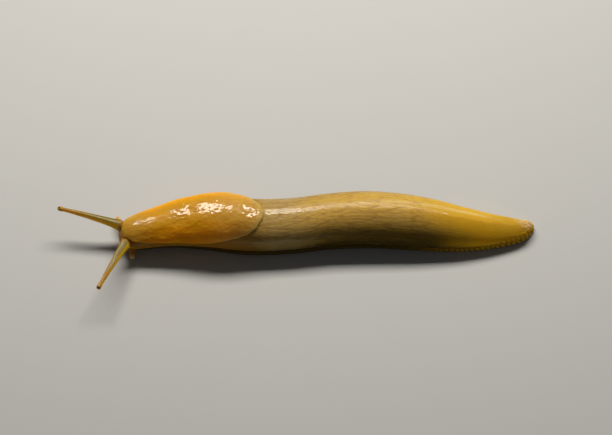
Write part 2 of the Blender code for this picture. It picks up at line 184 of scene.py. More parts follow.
ROOT_FADE = (1.2, 2.6)  # distances along a feeler between which that ends
FAR = 9.0  # more than any distance it is compared with
ARCH = 0.02
NECK_LENGTH = 0.9  # from the skin to a feeler's first full ring
NECK_RINGS = 3
FEELER_STEP = 0.4
FEELER_WRINKLE = 0.02
EYE_RADIUS = 0.45
EYE_SINK = 0.36
EYE_TILT = 50.0
EYE_RINGS = 15
SOCKET_RADIUS = 0.49
TIP_RINGS = 8

# The mouth
MOUTH_HEIGHT = 3.9
MOUTH_DEPTH = 0.45
MOUTH_WIDTH = 0.28
LIP_SWELL = 0.28
LIP_PLACE = 1.25  # distance of each lip from the slit
LIP_WIDTH = 0.95
LIP_HEIGHT = 1.15

# The stage, in metres but for the middle of the view, which is in the body's millimetres
VIEW_MIDDLE = (67.7, 5.6, 0.0)
FLOOR_SIZE = 3.0
KEY_DISTANCE = 0.62
KEY_TILT = 37.0
KEY_ASIDE = -0.02
KEY_SIZE = (0.62, 0.16)
KEY_TONE = (1.0, 0.94, 0.84)
ROOM_TONE = (0.86, 0.86, 0.84)


# Settings

def size(name, description, default):
    return FloatProperty(
        name=name, description=description, default=default, min=0.0, precision=5, unit="LENGTH")


def share(name, description, default):
    return FloatProperty(
        name=name, description=description, default=default, min=0.0, max=1.0, subtype="FACTOR")


def colour(name, description, default):
    return FloatVectorProperty(
        name=name, description=description, default=default, min=0.0, max=1.0, size=3, subtype="COLOR")


class SkinSettings(bpy.types.PropertyGroup):
    grain_length: size("Grain length", "Length of one raised grain of the back", 0.0032)
    grain_pitch: size("Grain pitch", "Width of one raised grain of the back", 0.0007)
    furrow_depth: size("Furrow depth", "Depth of the furrows between the grains", 0.00006)
    line_depth: size("Line depth", "Depth of the long lines that part rows of grains", 0.00005)
    bump_height: size("Bump height", "Height of the bumps round the slime pit", 0.00024)
    # Ridge, back, flank and hem: the skin's own paler back and darker flank, darkened further towards the
    # foot as painted shade
    ridge: colour("Ridge", "Skin along the ridge of the back", (0.74, 0.48, 0.09))
    # Painted highlight along the rear of the ridge
    line: colour("Line", "Pale line along the rear of the ridge", (0.88, 0.66, 0.26))
    back: colour("Back", "Skin of the upper side", (0.56, 0.36, 0.08))
    flank: colour("Flank", "Skin at the widest part of the side", (0.24, 0.15, 0.012))
    hem: colour("Hem", "Skin just over the foot", (0.09, 0.06, 0.004))
    neck: colour("Neck", "Orange skin of the head and under the mantle", (0.42, 0.19, 0.012))
    # Painted sheen on the skin just behind the mantle
    collar_sheen: colour("Collar", "Greyish skin just behind the mantle", (0.50, 0.38, 0.17))
    tail: colour("Tail", "Amber skin of the tail", (0.78, 0.46, 0.008))
    # Painted glow of light coming through the tail's lower side
    painted_glow: colour("Glow", "Tail's lower side, where light comes through", (0.98, 0.55, 0.008))
    tip: colour("Tip", "Pinkish skin round the slime pit", (0.80, 0.54, 0.24))
    # Painted highlight along the top of a feeler
    streak: colour("Feeler streak", "Pale streak along the top of a feeler", (0.42, 0.35, 0.16))
    feeler: colour("Feeler", "Glassy skin of the feelers", (0.30, 0.22, 0.022))
    # Painted glow of light coming through the feelers' golden side
    painted_feeler_glow: colour("Feeler edge", "Golden side of the feelers", (0.88, 0.58, 0.02))
    feeler_tip: colour("Feeler tip", "Orange skin near the feelers' tips", (0.55, 0.26, 0.012))
    # Painted shade on the top and lit side of the feelers
    painted_feeler_shade: colour("Smoke", "Darker middle of the feelers", (0.17, 0.125, 0.015))


class MantleSettings(bpy.types.PropertyGroup):
    pebble: size("Pebbles", "Height of the mantle's soft pebbles", 0.00006)
    swell: size("Swells", "Height of the mantle's slow swells", 0.00022)
    crown: colour("Crown", "Top of the mantle", (0.68, 0.345, 0.002))
    # The mantle's own orange sides, brightened with painted light to make up for the shade there
    skirt: colour("Skirt", "Sides of the mantle", (0.98, 0.40, 0.002))
    hem: colour("Hem", "Edge of the mantle along the flank", (0.74, 0.27, 0.002))
    nose: colour("Nose", "Front of the mantle, over the head", (0.56, 0.32, 0.035))
    margin: colour("Margin", "Pale rear of the mantle", (0.58, 0.40, 0.13))


class FootSettings(bpy.types.PropertyGroup):
    depth: size("Groove depth", "Depth of the grooves of the fringe", 0.00035)
    # Dark fringe: partly its own tone, partly painted shade like the hem above it
    fringe: colour("Fringe", "Rounded edge of the foot", (0.14, 0.09, 0.006))
    tail: colour("Tail fringe", "Rounded edge of the foot at the tail", (0.75, 0.42, 0.02))
    # Painted shade in the fringe's grooves
    groove: colour("Groove", "Bottom of the fringe's grooves", (0.14, 0.07, 0.008))
    sole: colour("Sole", "Pale middle of the sole", (0.62, 0.47, 0.22))


class StageSettings(bpy.types.PropertyGroup):
    floor: colour("Floor", "Plain pale floor", (0.58, 0.59, 0.60))
    key: FloatProperty(
        name="Key light", description="Power of the soft light above", default=4.4, min=0.0,
        unit="POWER")
    fill: share("Fill light", "Strength of the light from all round", 0.06)
    distance: size("Camera distance", "From the camera to the slug", 1.0)
    elevation: FloatProperty(
        name="Camera angle", description="Angle of the view over the floor",
        default=math.radians(57.0), subtype="ANGLE")
    width: size("View width", "Width of the picture at the slug", 0.2212)


class SlugSettings(bpy.types.PropertyGroup):
    skin: PointerProperty(type=SkinSettings, name="Skin", description="Skin of body and feelers")
    mantle: PointerProperty(type=MantleSettings, name="Mantle", description="Shield over the front")
    foot: PointerProperty(type=FootSettings, name="Foot", description="Foot and its fringe")
    stage: PointerProperty(type=StageSettings, name="Stage", description="Floor, lights and camera")


# Curves and patterns

def profile(stations, s):
    """A smooth curve through the pairs: cubics that pass each pair at the mean of the two slopes."""
    at, value = (np.array(column, float) for column in zip(*stations))
    rise = np.diff(value) / np.diff(at)
    slope = np.concatenate([rise[:1], (rise[1:] + rise[:-1]) / 2, rise[-1:]])
    i = np.clip(np.searchsorted(at, s, side="right") - 1, 0, len(at) - 2)
    step = at[i + 1] - at[i]
    t = (s - at[i]) / step
    near = (1 + 2 * t) * (1 - t) ** 2 * value[i] + t * (1 - t) ** 2 * step * slope[i]
    far = t * t * (3 - 2 * t) * value[i + 1] - t * t * (1 - t) * step * slope[i + 1]
    return near + far


def ease(value, low=0.0, high=1.0):
    """0 below low and 1 above high, with a soft step 3t^2 - 2t^3 between."""
    t = np.clip((value - low) / (high - low), 0, 1)
    return t * t * (3 - 2 * t)


def round_end(distance, rounding):
    """0 at the end of a form, 1 from one rounding inside it: a quarter of a circle."""
    return np.sqrt(1 - (1 - np.clip(distance / rounding, 0, 1)) ** 2)


def crowded(start, end, count):
    """Distances from start to end that lie closest at both ends: half a turn of a cosine."""
    return start + (end - start) * (1 - np.cos(np.linspace(0, math.pi, count))) / 2


def noise(u, v, seed):
    """Heights from -1 to 1 drawn at whole u and v, joined by soft steps between them."""
    heights = np.random.default_rng(seed).uniform(-1, 1, (TILE, TILE))
    i, j = np.floor(u).astype(int), np.floor(v).astype(int)
    p, q = ease(u - i), ease(v - j)
    rows = [
        heights[i % TILE, (j + b) % TILE] * (1 - p) + heights[(i + 1) % TILE, (j + b) % TILE] * p
        for b in (0, 1)
    ]
    return rows[0] * (1 - q) + rows[1] * q


def cell_walls(u, v, seed):
    """How much further the second nearest of spots strewn one to a unit square is than the nearest.

    It is 0 on the walls between the spots' cells and largest in their middles.
    """
    spots = np.random.default_rng(seed).random((TILE, TILE, 2))
    i, j = np.floor(u).astype(int), np.floor(v).astype(int)
    nearest = np.full(np.shape(u), FAR)
    second = nearest.copy()
    for a in (-1, 0, 1):
        for b in (-1, 0, 1):
            spot = spots[(i + a) % TILE, (j + b) % TILE]
            apart = np.hypot(i + a + spot[..., 0] - u, j + b + spot[..., 1] - v)
            second = np.minimum(second, np.maximum(nearest, apart))
            nearest = np.minimum(nearest, apart)
    return second - nearest


# The body's surface

def along_axis(s, sideways):
    """The plan position of a point that lies to the slug's right of its axis by that much."""
    slope = (profile(AXIS_SIDEWAYS, s + 0.05) - profile(AXIS_SIDEWAYS, s - 0.05)) / 0.1
    scale = np.sqrt(1 + slope * slope)
    return s - slope / scale * sideways, profile(AXIS_SIDEWAYS, s) + sideways / scale


def skin(s, theta):
    """The body's surface at s and theta.

    Over the flank, sideways = half sin(theta) and height = widest + rise (1 - sin(theta)^p)^(1/2).
    Under it, a quarter of an ellipse turns in to the flat base. Both shrink to a pole at the ends.
    """
    s, theta = np.broadcast_arrays(np.asarray(s, float), np.asarray(theta, float))
    end = round_end(s - HEAD_FRONT, HEAD_ROUNDING) * round_end(BODY_END - s, TAIL_ROUNDING)
    pole = np.where(s < BODY_END / 2, NOSE_HEIGHT, TAIL_TIP_HEIGHT)
    half = profile(HALF_WIDTH, s) * end
    top = pole + (profile(BACK_HEIGHT, s) - pole) * end
    base = pole - (pole - BASE_HEIGHT) * end
    widest = base + profile(WIDEST_SHARE, s) * (top - base)
    base_half = half * profile(BASE_SHARE, s)
    turn = np.abs(theta)
    across = np.sin(np.radians(np.minimum(turn, FLANK_ANGLE)))
    over = np.sqrt(np.clip(1 - across ** profile(RIDGE_POWER, s), 0, 1))
    under = np.radians(90) * np.clip((turn - FLANK_ANGLE) / (BASE_ANGLE - FLANK_ANGLE), 0, 1)
    inward = np.clip((turn - BASE_ANGLE) / (180 - BASE_ANGLE), 0, 1)
    flank = base_half + (half - base_half) * np.cos(under)
    sideways = np.where(turn <= FLANK_ANGLE, half * across, flank * (1 - inward))
    upper = widest + (top - widest) * over
    lower = widest - (widest - base) * np.sin(under)
    height = np.where(turn <= FLANK_ANGLE, upper, lower)
    x, y = along_axis(s, sideways * np.sign(theta))
    return np.stack([x, y, height], axis=-1)


def unit(vectors):
    return vectors / np.maximum(np.linalg.norm(vectors, axis=-1, keepdims=True), 1e-9)


def raised(s, theta, lift):
    """The skin moved outwards by lift, along its own normal."""
    step = 0.02
    along = skin(s + step, theta) - skin(s - step, theta)
    around = skin(s, theta + step * 20) - skin(s, theta - step * 20)
    return skin(s, theta) + unit(np.cross(along, around)) * np.asarray(lift)[..., None]


def frame_shift():
    """How far the body's own coordinates lie from the frame's, in millimetres, from one node's box."""
    s = np.linspace(*SHIFT_SPAN, 60)[:, None]
    points = skin(s, SHIFT_ANGLES[None, :]).reshape(-1, 3)
    low, high = (np.array(corner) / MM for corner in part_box(SHIFT_NODE))
    shift = (points.min(axis=0) + points.max(axis=0)) / 2 - (low + high) / 2
    return np.array([shift[0], shift[1], 0.0])


def skin_rows():
    """Distances s of the grid's rows, evenly spaced by SKIN_STEPS along the side, round both ends."""
    s = crowded(HEAD_FRONT, BODY_END, ROW_SAMPLES)
    run = np.linalg.norm(np.diff(skin(s, FLANK_ANGLE), axis=0), axis=1)
    steps = np.concatenate([[0], np.cumsum(run / profile(SKIN_STEPS, (s[1:] + s[:-1]) / 2))])
    count = round(steps[-1])
    return np.interp(np.arange(1, count) * steps[-1] / count, steps, s)


def skin_columns():
    """Angles theta of the grid's columns, with few under the belly, where the foot covers them."""
    side = np.linspace(-BASE_ANGLE, BASE_ANGLE, SIDE_COLUMNS + 1)
    belly = np.linspace(BASE_ANGLE, 360 - BASE_ANGLE, BELLY_COLUMNS + 1)[1:-1]
    return np.concatenate([side, np.where(belly > 180, belly - 360, belly)])


# Meshes

def placed(name, data):
    """A new object of the scene with this data, at the origin."""
    made = bpy.data.objects.new(name, data)
    bpy.context.scene.collection.objects.link(made)
    return made


class Surface:
    """Points with named values, and the faces between them, gathered part by part."""

    def __init__(self):
        self.points = np.zeros((0, 3))
        self.values = {}
        self.quads = np.zeros((0, 4), int)
        self.tris = np.zeros((0, 3), int)

    def add(self, points, **values):
        """Adds a grid of points with named values, one or a grid of each, and returns their numbers."""
        grid = points.shape[:-1]
        start = len(self.points)
        self.points = np.concatenate([self.points, points.reshape(-1, 3)])
        for name, value in values.items():
            flat = np.broadcast_to(value, grid).ravel()
            self.values[name] = np.concatenate([self.values.get(name, np.zeros(0)), flat])
        return np.arange(start, len(self.points)).reshape(grid)

    def cover(self, faces):
        """Adds four-sided faces. One with two corners the same becomes three-sided."""
        faces = faces.reshape(-1, 4)
        same = faces == np.roll(faces, -1, axis=1)
        self.quads = np.concatenate([self.quads, faces[~same.any(axis=1)]])
        pinched = faces[same.sum(axis=1) == 1]
        keep = ~same[same.sum(axis=1) == 1]
        self.tris = np.concatenate([self.tris, pinched[keep].reshape(-1, 3)])

    def cap(self, ring, point, **values):
        """Closes a ring of vertex numbers with three-sided faces to a new pole at a point."""
        pole = self.add(point.reshape(1, 3), **values)
        fan = np.stack([ring, np.roll(ring, -1), np.full(len(ring), pole[0])], axis=-1)
        self.tris = np.concatenate([self.tris, fan])

    def drop_unused(self):
        used = np.unique(np.concatenate([self.quads.ravel(), self.tris.ravel()]))
        renumber = np.zeros(len(self.points), int)
        renumber[used] = np.arange(len(used))
        self.points = self.points[used]
        self.values = {name: value[used] for name, value in self.values.items()}
        self.quads, self.tris = renumber[self.quads], renumber[self.tris]

    def normals(self):
        """The normal at each vertex: the sum of its faces' cross products, made one long."""
        total = np.zeros_like(self.points)
        for faces in (self.quads, self.tris):
            corner = self.points[faces]
            cross = np.cross(corner[:, 2] - corner[:, 0], corner[:, -1] - corner[:, 1])
            for column in faces.T:
                for axis in range(3):
                    total[:, axis] += np.bincount(column, cross[:, axis], len(total))
        return unit(total)

    def relax(self, weight, turns):
        """Moves each vertex towards the mean of its neighbours by its weight, turns times."""
        edges = np.concatenate([self.quads[:, [a, (a + 1) % 4]] for a in range(4)])
        edges = edges[(weight[edges] > 0).any(axis=1)]
        here, there = np.concatenate([edges, edges[:, ::-1]]).T
        count = np.maximum(np.bincount(here, minlength=len(self.points)), 1)
        for _ in range(turns):
            for axis in range(3):
                mean = np.bincount(here, self.points[there, axis], len(count)) / count
                self.points[:, axis] += (mean - self.points[:, axis]) * weight

    def make(self, name, finish, slot, nodes):
        """Makes the mesh object, in the frame, with its values as attributes."""
        mesh = bpy.data.meshes.new(name)
        places = (self.points - frame_shift()) * MM
        mesh.from_pydata(places.tolist(), [], self.quads.tolist() + self.tris.tolist())
        if mesh.validate():
            raise RuntimeError(name + " has faces that can't be used")
        for key, value in self.values.items():
            layer = mesh.attributes.new(key, "FLOAT", "POINT")
            layer.data.foreach_set("value", value.astype(np.float32))
        mesh.shade_smooth()
        mesh.materials.append(finish)
        piece = placed(name, mesh)
        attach(piece, BODY)
        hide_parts(*nodes)


def strips(index):
    """Four-sided faces between neighbouring rows of an array of vertex numbers, closed round each row.

    They face out where the rows turn to the left as seen from the side of the later rows.
    """
    near, far = index[:-1], index[1:]
    return np.stack([near, np.roll(near, -1, axis=1), np.roll(far, -1, axis=1), far], axis=-1)


# The feelers

class Feeler:
    """One feeler's sizes, its root on the head and its own directions."""

    def __init__(self, name):
        self.s, self.theta, yaw, pitch, self.length, self.streak = FEELERS[name]
        yaw, pitch = math.radians(yaw), math.radians(pitch)
        side = math.copysign(1, self.theta)
        flat = math.cos(pitch)
        self.upper = name.startswith("upper")
        self.radii = UPPER_RADIUS if self.upper else LOWER_RADIUS
        self.hole = UPPER_HOLE if self.upper else LOWER_HOLE
        self.size = self.radii[-1][1]
        self.root = skin(self.s, self.theta)
        self.way = np.array([-math.cos(yaw) * flat, side * math.sin(yaw) * flat, math.sin(pitch)])
        self.side = np.cross(self.way, (0, 0, 1)) / flat
        self.up = np.cross(self.side, self.way)

    def place(self, run, angle, radius):
        """A point beside the feeler's axis: run along it, then radius out at an angle from its top."""
        run, angle, radius = np.broadcast_arrays(run, angle, radius)
        centre = self.root + run[..., None] * self.way
        centre[..., 2] += ARCH * self.length * np.sin(math.pi * np.clip(run / self.length, 0, 1))
        out = np.cos(angle)[..., None] * self.up + np.sin(angle)[..., None] * self.side
        return centre + out * radius[..., None]

    def place_tip(self, ahead, angle, radius, tilt):
        """A point on a ring ahead of the middle of the round end, the ring turned up by a tilt."""
        ahead, angle, radius, tilt = np.broadcast_arrays(ahead, angle, radius, tilt)
        middle = self.place(self.length - self.size, 0.0, 0.0)
        over = radius * np.cos(angle)
        parts = (
            (ahead * np.cos(tilt) - over * np.sin(tilt), self.way),
            (ahead * np.sin(tilt) + over * np.cos(tilt), self.up),
            (radius * np.sin(angle), self.side),
        )
        return middle + sum(length[..., None] * way for length, way in parts)

    def tip_rings(self):
        """Rings round the tip, a quarter circle: how far ahead each is, its radius and tilt, and the pole.

        On an upper feeler the quarter circle stops at the eye, and its socket follows the eyeball in.
        Its rings turn up step by step, until they lie round the way that the eye looks.
        """
        if not self.upper:
            turn = np.radians(np.linspace(0, 90, TIP_RINGS)[1:-1])
            return self.size * np.sin(turn), self.size * np.cos(turn), np.zeros(len(turn)), self.size
        ball = self.size - EYE_SINK
        meet = (ball**2 + self.size**2 - SOCKET_RADIUS**2) / (2 * ball)
        turn = np.linspace(0, math.asin(meet / self.size), TIP_RINGS + 1)[1:]
        back = np.linspace(math.acos((meet - ball) / SOCKET_RADIUS), math.pi, TIP_RINGS - 1)[1:-1]
        ahead = np.concatenate([self.size * np.sin(turn), ball + SOCKET_RADIUS * np.cos(back)])
        radius = np.concatenate([self.size * np.cos(turn), SOCKET_RADIUS * np.sin(back)])
        tilt = math.radians(EYE_TILT) * np.minimum(np.arange(1, len(ahead) + 1) / TIP_RINGS, 1)
        return ahead, radius, tilt, ball - SOCKET_RADIUS

    def grow(self, rim):
        """Rings from the rim of its hole to its tip, each point's run and places round it, and the pole.

        The first rings start as slanted as the rim, and their slant and uneven turns even out along the
        feeler. The radius follows the feeler's own profile.
        """
        away = rim - self.root
        angle = np.unwrap(np.arctan2(away @ self.side, away @ self.up))
        even = np.arange(len(rim)) * 2 * math.pi / len(rim)
        even = even + (angle - even).mean()
        start = away @ self.way * 0.7 + NECK_LENGTH
        end = self.length - self.size
        t = np.linspace(0, 1, round(end / FEELER_STEP))[:, None]
        run = start + (end - start) * t
        angle = angle + (even - angle) * ease(t, 0, 0.25)
        radius = profile(self.radii, np.clip(run / self.length, 0, 1))
        tube = self.place(run, angle, radius)
        near = np.linspace(0, 1, NECK_RINGS + 2)[1:-1][:, None, None]
        neck = rim * (1 - near) + tube[0] * near
        ahead, tip_radius, tilt, pole_ahead = (np.reshape(part, (-1, 1)) for part in self.tip_rings())
        tip = self.place_tip(ahead, even, tip_radius, tilt)
        runs = np.concatenate([near[..., 0] * run[0], run, end + ahead + 0 * even])
        runs = np.broadcast_to(runs, (len(runs), len(rim)))
        angles = np.concatenate([np.tile(angle[0], (NECK_RINGS, 1)), angle, even + 0 * ahead])
        under = 0.5 - 0.5 * np.cos(angles - self.streak)
        sidelong = 0.5 + 0.5 * np.sin(angles)
        pole = self.place_tip(pole_ahead[0], 0.0, 0.0, tilt[-1])
        return np.concatenate([neck, tube, tip]), np.clip(runs, 0, self.length), under, sidelong, pole

    def block(self, rows, columns):
        """First and last row, then first and last column, of the cells it takes out of the grid."""
        step = 0.05
        along = np.linalg.norm(skin(self.s + step, self.theta) - skin(self.s - step, self.theta))
        around = np.linalg.norm(skin(self.s, self.theta + 1) - skin(self.s, self.theta - 1))
        found = []
        for values, middle, reach in (
            (rows, self.s, self.hole * 2 * step / along),
            (columns[:SIDE_COLUMNS + 1], self.theta, self.hole * 2 / around),
        ):
            found += [int(np.abs(values - middle + side * reach).argmin()) for side in (1, -1)]
        return found


def round_hole(s, theta, block):
    """How a grid moves to make a block's square edge round, and each place's distance from the block.

    A place at n half sides from the block's middle, measured the longer way, moves in until its
    straight distance is n. The move dies away by HOLE_FADE half sides.
    """
    top, bottom, left, right = block
    half_s = (s[bottom, 0] - s[top, 0]) / 2
    half_theta = (theta[0, right] - theta[0, left]) / 2
    p = (s - s[top, 0]) / half_s - 1
    q = (theta - theta[0, left]) / half_theta - 1
    n = np.maximum(np.abs(p), np.abs(q))
    pull = (n / np.maximum(np.hypot(p, q), 1e-9) - 1) * (1 - ease(n, 1, HOLE_FADE))
    return p * pull * half_s, q * pull * half_theta, n


def block_edge(index, block):
    """The vertex numbers round a block, turning to the left as seen from outside."""
    top, bottom, left, right = block
    return np.concatenate([
        index[top:bottom, left], index[bottom, left:right],
        index[bottom:top:-1, right], index[top, right:left:-1],
    ])


# The skin

def tail_lobes(s, theta):
    """How deep the fringe's grooves run on up the tail's flank, where they climb higher to the rear."""
    lobes = np.zeros(s.shape)
    for side in (1, -1):
        _, _, run, place = foot_edge(side)
        height = FOOT_TOP + (BASE_ANGLE - np.abs(theta)) * LOBE_RISE
        groove = fringe_grooves(np.interp(s, place, run), height, 0.24)
        lobes = np.where(theta * side > 0, groove, lobes)
    climb = ease(s, *LOBES_CLIMB)
    reach = ease(np.abs(theta), 100 - 50 * climb, 118 - 40 * climb)
    return lobes * ease(s, *LOBES_START) * reach * (1 - ease(s, *LOBES_FADE))


def furrows(s, theta, arc, sizes):
    """Height of the skin's relief, and how deep in a furrow each place lies, which the finish darkens as
    painted shade.

    Small grains, longer than wide, cover the body, and long lines part them in rows. They give way to
    finer grains on the head, and to round bumps on the tip of the tail.
    """
    length, pitch = sizes.grain_length / MM, sizes.grain_pitch / MM
    drift = noise(s / 7, arc / 4, 1) * 0.8
    grain = 1 - ease(cell_walls(s / length, arc / pitch + drift, 3), 0, 0.34)
    bend = noise(s / 3, arc / 2, 2) * 0.1
    line = 1 - ease(cell_walls(s / 12 + bend, arc / 1.3 + 1.3 * drift, 4), 0, 0.26)
    fine = 1 - ease(cell_walls(s / 1.2, arc / 0.7, 5), 0, 0.3)
    bump = ease(cell_walls(s / 1.1, arc / 1.1, 6), 0, 0.7)
    head = 1 - ease(s, *HEAD_WRINKLES_FADE)
    tip = ease(s, *BUMPS_START)
    smooth = 1 - 0.85 * ease(s, *GRAINS_FADE)
    body = (1 - head) * (1 - tip) * smooth
    grains = grain * body + 0.4 * fine * head
    furrow = (sizes.furrow_depth * grains + sizes.line_depth * line * body) / MM
    lobes = tail_lobes(s, theta)
    height = sizes.bump_height / MM * (bump - 0.6) * tip * (1 - lobes) - furrow - 0.3 * lobes
    # how dark each place is painted: painted shade in furrows, lines, grooves and between bumps
    dark = 0.3 * grain * body + 0.55 * line * body + 0.2 * fine * head + 0.3 * (1 - bump) * tip + lobes
    return height, np.clip(dark, 0, 1)


def mouth_relief(points):
    """Two soft lips either side of an upright slit, under the front of the head."""
    across = (points - skin(HEAD_FRONT, 0.0)) @ unit(skin(3.0, 90.0) - skin(3.0, -90.0))
    over = points[:, 2] - MOUTH_HEIGHT
    front = 1 - ease(points[:, 0], 3.0, 5.0)
    beside = (np.abs(across) - LIP_PLACE) / LIP_WIDTH
    lips = LIP_SWELL * np.exp(-beside**2 - (over / LIP_HEIGHT) ** 2)
    slit = MOUTH_DEPTH * np.exp(-(across / MOUTH_WIDTH) ** 2 - over**4)
    return (lips - slit) * front, slit * front


def build_skin(sizes):
    """The body and its four feelers as one closed surface."""
    rows, columns = skin_rows(), skin_columns()
    s, theta = np.meshgrid(rows, columns, indexing="ij")
    moved_s, moved_theta = s.copy(), theta.copy()
    covered = np.ones(s.shape, bool)
    near = np.full(s.shape, FAR)
    feelers = [Feeler(name) for name in FEELERS]
    blocks = [feeler.block(rows, columns) for feeler in feelers]
    for block in blocks:
        top, bottom, left, right = block
        add_s, add_theta, n = round_hole(s, theta, block)
        moved_s += add_s
        moved_theta += add_theta
        near = np.minimum(near, n)
        covered[top:bottom, left:right] = False
    places = skin(moved_s, moved_theta)
    arc = np.cumsum(np.linalg.norm(np.diff(places, axis=1, prepend=places[:, :1]), axis=2), axis=1)
    arc -= arc[:, SIDE_COLUMNS // 2][:, None]
    made = Surface()
    on_skin = {"feeler": 0.0, "under": 0.0, "sidelong": 0.0, "lower": 0.0, "run": 0.0}
    index = made.add(places, along=moved_s, around=moved_theta, arc=arc, near=near, **on_skin)
    made.cover(strips(index)[:, :, ::-1][covered[:-1]])
    for feeler, block in zip(feelers, blocks):
        edge = block_edge(index, block)
        rings, runs, under, sidelong, pole = feeler.grow(made.points[edge])
        like = {name: made.values[name][edge] for name in ("along", "around", "arc")}
        like.update(near=1.0, lower=0.0 if feeler.upper else 1.0)
        tube = made.add(
            rings, feeler=runs / feeler.length, run=runs, under=under, sidelong=sidelong, **like)
        like = {name: np.ravel(value)[:1] for name, value in like.items()}
        made.cover(strips(np.concatenate([edge[None], tube])))
        made.cap(tube[-1], pole, feeler=1.0, run=feeler.length, under=0.0, sidelong=0.5, **like)
    for place, ring, out in ((HEAD_FRONT, index[0], 1), (BODY_END, index[-1], -1)):
        pole = skin(place, 0.0)
        made.cap(ring[::out], pole, along=place, around=0.0, arc=0.0, near=FAR, **on_skin)
    made.drop_unused()
    run, near = made.values.pop("run"), made.values.pop("near")
    made.relax(0.5 * (1 - ease(near, 1.0, HOLE_FADE)) * (1 - ease(run, *ROOT_FADE)), HOLE_RELAX)
    places = (made.values["along"], made.values["around"], made.values.pop("arc"))
    height, furrow = furrows(*places, sizes)
    lips, slit = mouth_relief(made.points)
    on_body = 1 - ease(run, 0, 1.0)
    rings = FEELER_WRINKLE * noise(run / 0.5, made.values["under"] * 3, 8)
    lift = (height + lips) * on_body + rings * (1 - on_body)
    made.points += made.normals() * lift[:, None]
    # depth in a furrow or the mouth's slit, which the finish darkens as painted shade
    made.values["relief"] = np.maximum(furrow, slit * 1.5) * on_body
    ridge = profile(RIDGE_LEAN, made.values["along"])
    made.values["turn"] = np.abs(made.values["around"] - ridge) / 180
    return made


# The mantle

def mantle_place(reach, turn):
    """Where a point of the mantle lies on the body: reach is 0 in its middle and 1 at its margin."""
    ahead = np.cos(turn) < 0
    power = 2 / np.where(ahead, MANTLE_FRONT_POWER, MANTLE_REAR_POWER)
    length = np.where(ahead, MANTLE_FRONT, MANTLE_REAR)
    s = MANTLE_CENTRE + reach * length * np.sign(np.cos(turn)) * np.abs(np.cos(turn)) ** power
    theta = reach * MANTLE_HALF_ANGLE * np.sign(np.sin(turn)) * np.abs(np.sin(turn)) ** power
    return s, theta


def breathing_relief(s, theta):
    """The breathing hole: a round pit in a raised ring, and a cleft from it down to the margin."""
    ahead = s - BREATHING_PLACE[0]
    down = (theta - BREATHING_PLACE[1]) * DEGREE_LENGTH
    apart = np.hypot(ahead / 1.15, down)
    ring = BREATHING_RING * np.exp(-((apart - 1.25) / 0.4) ** 2)
    pit = BREATHING_DEPTH * (1 - ease(apart, 0.35, 1.0))
    cleft = CLEFT_DEPTH * np.exp(-(ahead / 0.32) ** 2) * ease(down, 0.4, 1.2)
    return ring - pit - cleft, np.clip(pit + cleft, 0, 1)


def build_mantle(sizes):
    """The mantle as one closed surface: its upper skin, a rounded rim and a plain under side.

    On the upper skin a point is raised over the body by the mantle's thickness, and round the rim by
    half an ellipse that bulges out and tucks in below.
    """
    turn = np.linspace(0, 2 * math.pi, MANTLE_AROUND, endpoint=False)[None, :]
    inner = RIM_REACH * np.sin(np.linspace(0, math.pi / 2, MANTLE_RINGS + 1)[1:])
    roll = np.radians(np.linspace(90, -90, RIM_STEPS + 1)[1:])
    below = inner[::-UNDER_STRIDE][1:]
    reach = np.concatenate([inner, RIM_REACH + (1 - RIM_REACH) * np.cos(roll), below])[:, None]
    upper = np.concatenate([np.ones(len(inner)), np.sin(roll), -np.ones(len(below))])[:, None]
    wave = MARGIN_WAVE * noise(turn * 9, turn * 0, 21) * ease(reach, 0.8, 1)
    s, theta = mantle_place(reach + wave, turn)
    thick = profile(MANTLE_RIM, s) + profile(MANTLE_SWELL, s) * (1 - reach**3)
    middle = RIM_MIDDLE * thick
    lift = middle + np.where(upper > 0, thick - middle, middle + UNDER_SINK) * upper
    side = theta * DEGREE_LENGTH
    pebble = noise(s / 1.3, side / 0.8, 23) + 0.5 * noise(s / 0.7, side / 0.5, 24)
    detail = sizes.swell / MM * noise(s / 5.5, side / 3.5, 22) + sizes.pebble / MM * pebble
    border = BORDER_DEPTH * np.exp(-((reach - 0.9) / 0.02) ** 2) * ease(np.cos(turn), -0.2, 0.6)
    breathing, dark = breathing_relief(s, theta)
    wet = sum(
        most * (1 - ease(np.abs(s - place), 0.7 * half, 1.3 * half)) for place, half, most in WET_PATCHES)
    top = np.clip(upper, 0, 1)
    lift = lift + (detail - border + breathing) * top
    made = Surface()
    places = raised(s, theta, lift)
    index = made.add(places, along=s, around=theta, reach=reach, wet=wet, relief=dark * top)
    made.cover(strips(index)[:, :, ::-1])
    for ring, height in ((index[0], lift[0].mean()), (index[-1][::-1], -UNDER_SINK)):
        pole = raised(MANTLE_CENTRE, 0.0, height)
        made.cap(ring, pole, along=MANTLE_CENTRE, around=0.0, reach=0.0, wet=1.0, relief=0.0)
    return made


# The foot

def foot_half(s):
    """Half the foot's width, closed at both ends by quarter circles."""
    end = round_end(s - FOOT_START, FOOT_FRONT_ROUNDING) * round_end(FOOT_END - s, TAIL_ROUNDING)
    return profile(HALF_WIDTH, s) * profile(FOOT_SHARE, s) * end


def foot_edge(side):
    """Even points along one edge of the foot, the way out at each, and their run along it and s."""
    s = crowded(FOOT_START, FOOT_END, EDGE_SAMPLES)
    edge = np.stack(along_axis(s, side * foot_half(s)), axis=-1)
    run = np.concatenate([[0], np.cumsum(np.linalg.norm(np.diff(edge, axis=0), axis=1))])
    even = np.linspace(0, run[-1], FOOT_STATIONS)
    points = np.stack([np.interp(even, run, edge[:, i]) for i in (0, 1)], axis=-1)
    heading = unit(np.gradient(points, axis=0))
    out = np.stack([-heading[:, 1], heading[:, 0]], axis=-1) * side
    out[0] = (-1, 0)
    out[-1] = (1, 0)
    return points, out, even, np.interp(even, run, s)


